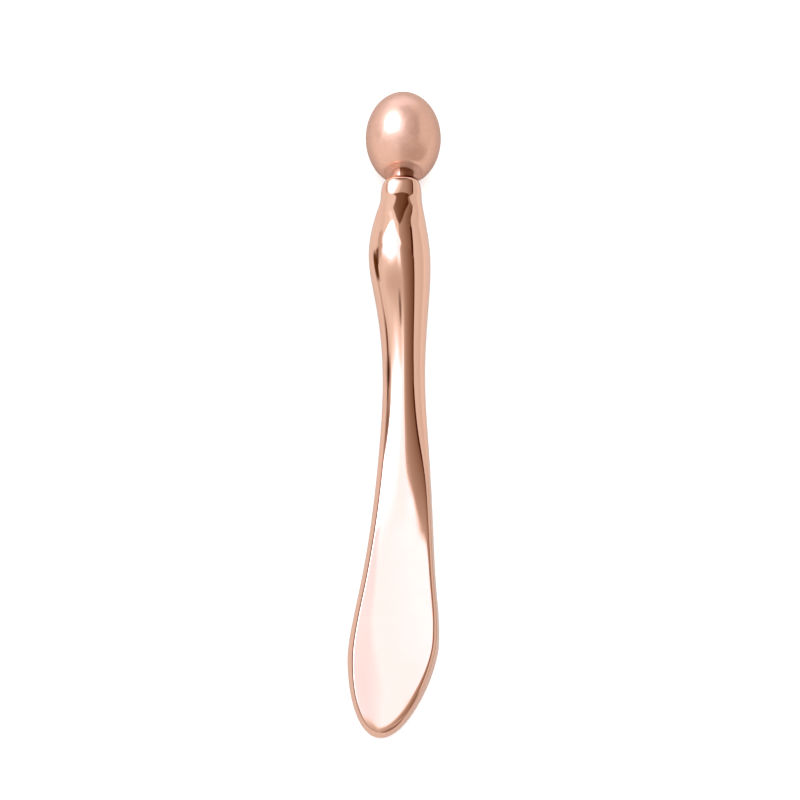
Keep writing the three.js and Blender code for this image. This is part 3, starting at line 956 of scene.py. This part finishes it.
# Roller: an egg cut flat at its mouth, with the bore for its bushes. The egg's outline is the
# radius times the cosine, and the crown's length times the sine, of an angle. A quadratic curve
# eases the mouth's edge.
def rollerProfile():
    r = rollerForm
    depth = r["crown"] * math.sqrt(1 - (r["mouthRadius"] / r["radius"]) ** 2)
    centre = r["mouth"] + depth
    low = -math.asin((depth - r["mouthEase"]) / r["crown"])
    angle = np.linspace(math.pi / 2, low, r["outlinePoints"])
    egg = np.stack([r["radius"] * np.cos(angle), centre + r["crown"] * np.sin(angle)], axis=-1)
    egg[0, 0] = 0
    corner = np.array([r["mouthRadius"], r["mouth"]])
    after = corner - [r["mouthInset"], 0]
    t = np.linspace(0, 1, r["mouthSteps"] + 1)[1:, None]
    eased = egg[-1] * (1 - t) ** 2 + 2 * corner * t * (1 - t) + after * t**2
    inner = easedProfile(
        [
            (r["counterbore"] + r["lip"], r["mouth"], 0),
            (r["counterbore"], r["mouth"] + r["lip"], 0),
            (r["counterbore"], r["flangeSeat"], r["seatEase"]),
            (r["bore"], r["flangeSeat"], r["boreEase"]),
            (r["bore"], r["boreEnd"], r["boreEndEase"]),
            (0, r["borePoint"], 0),
        ]
    )
    return np.vstack([egg, eased, inner])


roller = addTurned("rollerEgg", rollerProfile(), rollerForm["sides"], satinPlating)
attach(roller, "roller")
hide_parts("roller_ball")
print("roller made")

# Cap in the roller's mouth: a thin ring with a skirt that holds the lower bush.
capForm = {
    "inner": 1.54,
    "outer": 2.65,
    "skirt": 2.25,
    "face": 1.65,
    "seat": 2.0,
    "end": 2.35,
    "ease": 0.03,
    "faceEase": 0.015,
    "sides": 96,
}
c = capForm
capProfile = easedProfile(
    [
        (c["inner"], c["seat"], c["ease"]),
        (c["skirt"], c["seat"], c["ease"]),
        (c["skirt"], c["end"], c["ease"]),
        (c["outer"], c["end"], c["ease"]),
        (c["outer"], c["face"], c["faceEase"]),
        (c["inner"], c["face"], c["faceEase"]),
    ]
)
cap = addTurned("mouthCap", capProfile, c["sides"], satinPlating, closed=True)
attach(cap, "roller")
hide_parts("mouth_cap")
print("cap made")

# The hidden bearings keep their CAD form.
for nodeName, finish in {
    "lower_bush": bearingPlastic,
    "upper_bush": bearingPlastic,
    "thrust_washer": steelFinish,
    "end_washer": steelFinish,
    "retaining_ring": steelFinish,
}.items():
    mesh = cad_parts[nodeName].data
    mesh.materials.clear()
    mesh.materials.append(finish)
print("bearings given their materials")

# Studio: what the metal reflects is drawn on the world as soft boxes and flags. The corners of each
# are degrees round the stick's axis, to the right, and degrees toward its roller, anticlockwise.
# Its tones, from left to right, are the brightness that it gives the plating on screen. The width
# in degrees of its soft edge is one for all its sides, or one for each.
studio = {
    "wallTone": 0.79,
    "ambient": 2.1,
    "greenDrop": 0.188,
    "blueDrop": 0.278,
    "brightBlueDrop": 0.2,
    "brightTones": (1.02, 1.17),
    "cards": [
        # Left of the stick: wall, with a dim window edge low down.
        {
            "corners": [(-100, -95), (-64, -95), (-64, 60), (-100, 60)],
            "tones": (0.9, 0.9),
            "edge": 5,
        },
        {"corners": [(-82, 14), (-62, 14), (-62, 38), (-82, 38)], "tones": (0.78, 0.78), "edge": 4},
        # Big soft box up on the left, fading slowly at its lower edge.
        {
            "corners": [(-66, 2), (2, 2), (-1, 46), (-16, 62), (-66, 62)],
            "tones": (0.93, 0.95),
            "edge": (10, 3, 4, 8, 6),
        },
        {
            "corners": [
                (-62, 14),
                (-32, 4.5),
                (-7, 9),
                (6, 22),
                (2, 28),
                (-21, 45),
                (-38, 45),
                (-62, 33),
            ],
            "tones": (1.18, 1.18),
            "edge": (8, 7, 3, 4, 3, 3, 4, 6),
        },
        {
            "corners": [
                (-55, 17),
                (-33, 9),
                (-14, 13),
                (-13, 27),
                (-15, 35),
                (-26, 44),
                (-44, 42),
                (-55, 33),
            ],
            "tones": (2.1, 2.1),
            "edge": 5,
        },
        {
            "corners": [(-9, 5), (0.5, 5), (0.5, 22), (-9, 30)],
            "tones": (1.15, 1.15),
            "edge": (8, 3, 3, 3),
        },
        {
            "corners": [(-100, 17), (-60, 20), (-59, 25), (-100, 26)],
            "tones": (0.8, 0.78),
            "edge": 6,
        },
        {"corners": [(-90, 11), (-79, 12), (-77, 23), (-90, 23)], "tones": (0.5, 0.4), "edge": 2.5},
        # Flag to its right, with a black edge, and the wall beyond.
        {
            "corners": [(7, 16), (44, 15), (52, 42), (14, 60), (-4, 60), (-5, 41), (1, 31)],
            "tones": (0.78, 0.44),
            "edge": (4, 4, 2, 3, 4, 4, 4),
        },
        {
            "corners": [(8, -6), (47, -6), (44, 18), (6, 19)],
            "tones": (0.72, 0.42),
            "edge": (4, 2, 2, 4),
        },
        {
            "corners": [(44, 16), (95, 10), (95, 62), (52, 62), (50, 41)],
            "tones": (0.9, 0.84),
            "edge": 1,
        },
        {
            "corners": [(12, 63), (16, 60), (54, 42.5), (95, 38), (95, 63)],
            "tones": (0.86, 0.86),
            "edge": 2,
        },
        {"corners": [(39, 15), (46, 15), (51, 40), (43, 40)], "tones": (0.34, 0.2), "edge": 1.5},
        {"corners": [(48, -95), (95, -95), (95, 16), (48, 16)], "tones": (0.9, 0.84), "edge": 1},
        {"corners": [(42, 2), (48, 2), (48, 15), (42, 15)], "tones": (0.38, 0.34), "edge": 1.5},
        # Dark banner beyond the roller's end, under a bright ceiling.
        {
            "corners": [(2, 41.5), (27, 50), (12, 59), (-3, 59), (-23, 50)],
            "tones": (0.62, 0.28),
            "edge": 2,
        },
        {
            "corners": [(-200, 62), (200, 62), (200, 95), (-200, 95)],
            "tones": (1.12, 1.12),
            "edge": 8,
        },
        # Below and behind the camera: a dim room, brighter on its left.
        {
            "corners": [(-66, -62), (-16, -62), (-16, -14), (-66, -14)],
            "tones": (0.93, 0.9),
            "edge": 4,
        },
        {
            "corners": [(-14, -62), (60, -62), (60, -16), (-14, -16)],
            "tones": (0.6, 0.6),
            "edge": 6,
        },
        {"corners": [(40, -90), (130, -90), (130, -7), (40, -7)], "tones": (0.6, 0.5), "edge": 8},
    ],
}


# Share of a card at a spot: the product, over its sides, of a soft step of the distance inside it.
def cardMask(tree, spot, corners, edges):
    mask = 1.0
    for (x0, y0), (x1, y1), edge in zip(corners, corners[1:] + corners[:1], edges):
        reach = math.hypot(x1 - x0, y1 - y0)
        inX, inY = (y0 - y1) / reach, (x1 - x0) / reach
        inside = tree.nodes.new("ShaderNodeVectorMath")
        inside.operation = "DOT_PRODUCT"
        feed(tree, inside.inputs[0], spot)
        feed(tree, inside.inputs[1], (inX, inY, -(inX * x0 + inY * y0)))
        side = mapRange(tree, inside.outputs["Value"], -edge / 2, edge / 2, 0, 1, soft=True)
        mask = calc(tree, "MULTIPLY", mask, side)
    return mask


# The tone becomes light: the plating shows green and blue a fixed step below red, and the blue
# comes nearer in the brightest part. Each channel is the light of that shown value, by the
# screen's own curve, over the plating's colour.
def toneToLight(tree, tone):
    curveOffset, curvePower = 0.055, 2.4
    dropEnds = (studio["blueDrop"], studio["brightBlueDrop"])
    blueDrop = mapRange(tree, tone, *studio["brightTones"], *dropEnds)
    channels = []
    for drop, share in zip((0.0, studio["greenDrop"], blueDrop), roseGold):
        shown = calc(tree, "MAXIMUM", calc(tree, "SUBTRACT", tone, drop), 0.0)
        lifted = calc(tree, "DIVIDE", calc(tree, "ADD", shown, curveOffset), 1 + curveOffset)
        light = calc(tree, "POWER", lifted, curvePower)
        channels.append(calc(tree, "DIVIDE", light, share))
    return addNode(
        tree, "ShaderNodeCombineColor", Red=channels[0], Green=channels[1], Blue=channels[2]
    ).outputs[0]


# World: each card is laid over those before it. Only what is mirrored shows them; everything else
# gets one even light.
def drawStudio():
    world = bpy.data.worlds.new("studio")
    bpy.context.scene.world = world
    world.use_nodes = True
    world.cycles.sampling_method = "NONE"
    tree = world.node_tree
    back = tree.nodes["Background"]
    place = tree.nodes.new("ShaderNodeTexCoord")
    split = addNode(tree, "ShaderNodeSeparateXYZ", Vector=place.outputs["Generated"])
    x, y, z = split.outputs
    around = calc(tree, "MULTIPLY", calc(tree, "ARCTAN2", x, z), math.degrees(1))
    toward = calc(tree, "MULTIPLY", calc(tree, "ARCSINE", y), math.degrees(1))
    spot = addNode(tree, "ShaderNodeCombineXYZ", X=around, Y=toward, Z=1.0).outputs[0]
    tone = studio["wallTone"]
    for card in studio["cards"]:
        corners = card["corners"]
        left, right = min(c[0] for c in corners), max(c[0] for c in corners)
        mix = addNode(tree, "ShaderNodeMix", {"data_type": "FLOAT"})
        edges = card["edge"]
        if not isinstance(edges, tuple):
            edges = (edges,) * len(corners)
        feed(tree, mix.inputs[0], cardMask(tree, spot, corners, edges))
        feed(tree, mix.inputs[2], tone)
        feed(tree, mix.inputs[3], mapRange(tree, around, left, right, *card["tones"]))
        tone = mix.outputs[0]
    mirrored = tree.nodes.new("ShaderNodeLightPath").outputs["Is Glossy Ray"]
    light = mixColor(tree, mirrored, (studio["ambient"],) * 3, toneToLight(tree, tone))
    feed(tree, back.inputs["Color"], light)


# Floor: a plain pale sheet, in metres, just below the stick. What the metal mirrors of it is
# dimmer than what is seen.
floorForm = {"reach": 3.0, "level": -0.00002, "shade": 0.9, "mirroredShade": 0.42}


def addFloor():
    mesh = bpy.data.meshes.new("floor")
    reach = floorForm["reach"]
    sides = [(-reach, -reach), (reach, -reach), (reach, reach), (-reach, reach)]
    corners = [(x, y, floorForm["level"]) for x, y in sides]
    mesh.from_pydata(corners, [], [(0, 1, 2, 3)])
    floor = bpy.data.objects.new("floor", mesh)
    bpy.context.scene.collection.objects.link(floor)
    material = bpy.data.materials.new("paleFloor")
    material.use_nodes = True
    tree = material.node_tree
    shader = tree.nodes["Principled BSDF"]
    shader.inputs["Roughness"].default_value = 1.0
    shader.inputs["Specular IOR Level"].default_value = 0.0
    mirrored = tree.nodes.new("ShaderNodeLightPath").outputs["Is Glossy Ray"]
    shades = (floorForm["shade"],) * 3, (floorForm["mirroredShade"],) * 3
    feed(tree, shader.inputs["Base Color"], mixColor(tree, mirrored, *shades))
    mesh.materials.append(material)


# Camera: fitted to the outline in the photograph. It looks up the stick from its blade's end, at
# the aim, and the distance and the aim are in millimetres.
cameraForm = {
    "elevation": 61.77,
    "distance": 500.0,
    "aim": (0.578, 0.559, 3.285),
    "lens": 159.857,
    "sensor": 36.0,
    "nearLimit": 0.01,
}


def addCamera():
    data = bpy.data.cameras.new("photoCamera")
    data.lens = cameraForm["lens"]
    data.sensor_width = cameraForm["sensor"]
    data.clip_start = cameraForm["nearLimit"]
    camera = bpy.data.objects.new("photoCamera", data)
    tilt = math.radians(cameraForm["elevation"])
    aimX, aimY, aimZ = cameraForm["aim"]
    reach = cameraForm["distance"]
    camera.location = (
        aimX * mm,
        (aimY - reach * math.cos(tilt)) * mm,
        (aimZ + reach * math.sin(tilt)) * mm,
    )
    camera.rotation_euler = (math.pi / 2 - tilt, 0, 0)
    bpy.context.scene.collection.objects.link(camera)
    bpy.context.scene.camera = camera


drawStudio()
addFloor()
addCamera()
bpy.context.scene.view_settings.view_transform = "Standard"
print("studio, floor and camera made")
